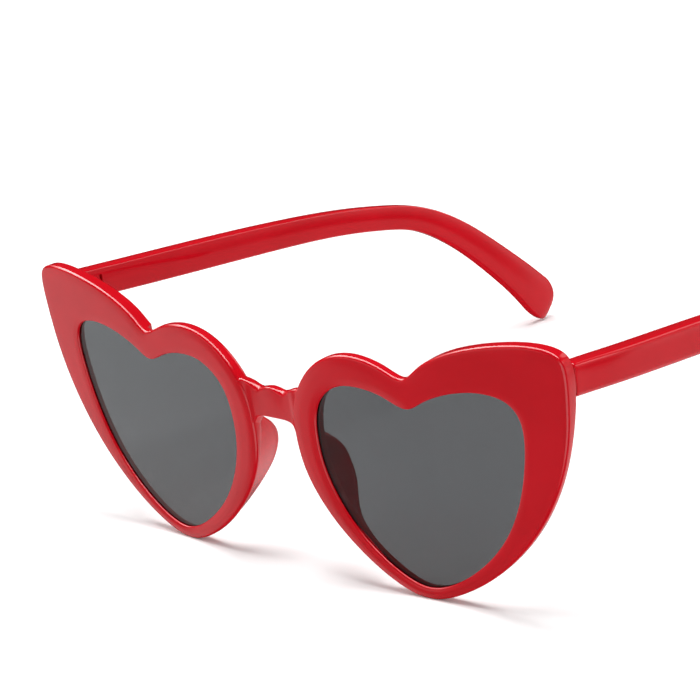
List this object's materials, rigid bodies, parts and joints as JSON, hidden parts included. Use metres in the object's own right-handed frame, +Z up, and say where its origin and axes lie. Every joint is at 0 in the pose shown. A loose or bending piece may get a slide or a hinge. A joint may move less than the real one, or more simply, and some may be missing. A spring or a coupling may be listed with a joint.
{
  "type": "heart shaped sunglasses",
  "caption": "Glossy plastic sunglasses with two winged heart shaped rims, tinted lenses, moulded nose pads and folding temples on small screwed hinges.",
  "frame": {"origin": "on the surface that the open glasses stand on, under the middle of their bounding box", "axes": "+Y runs back along the temples, away from the lenses; +Z is up; +X is the wearer's left, so the front of the glasses faces -Y"},
  "size_m": [0.1446, 0.1518, 0.0532],
  "materials": {
    "frame_red": "glossy moulded red plastic",
    "lens_grey": "clear grey tinted plastic, polished",
    "hinge_steel": "plain bright steel"
  },
  "bodies": {
    "front": {"front_frame": "frame_red", "lens_left": "lens_grey", "lens_right": "lens_grey", "front_hinge_left": "hinge_steel", "front_hinge_right": "hinge_steel", "hinge_screw_left": "hinge_steel", "hinge_screw_right": "hinge_steel"},
    "left_temple": {"temple_left": "frame_red", "temple_hinge_left": "hinge_steel"},
    "right_temple": {"temple_right": "frame_red", "temple_hinge_right": "hinge_steel"}
  },
  "joints": [
    {"name": "fold_left", "type": "hinge", "parent": "front", "child": "left_temple", "pos_m": [0.06619, -0.06521, 0.04648], "axis": [0, 0, 1], "range_deg": [0, 90]},
    {"name": "fold_right", "type": "hinge", "parent": "front", "child": "right_temple", "pos_m": [-0.06619, -0.06521, 0.04648], "axis": [0, 0, -1], "range_deg": [0, 83]}
  ]
}
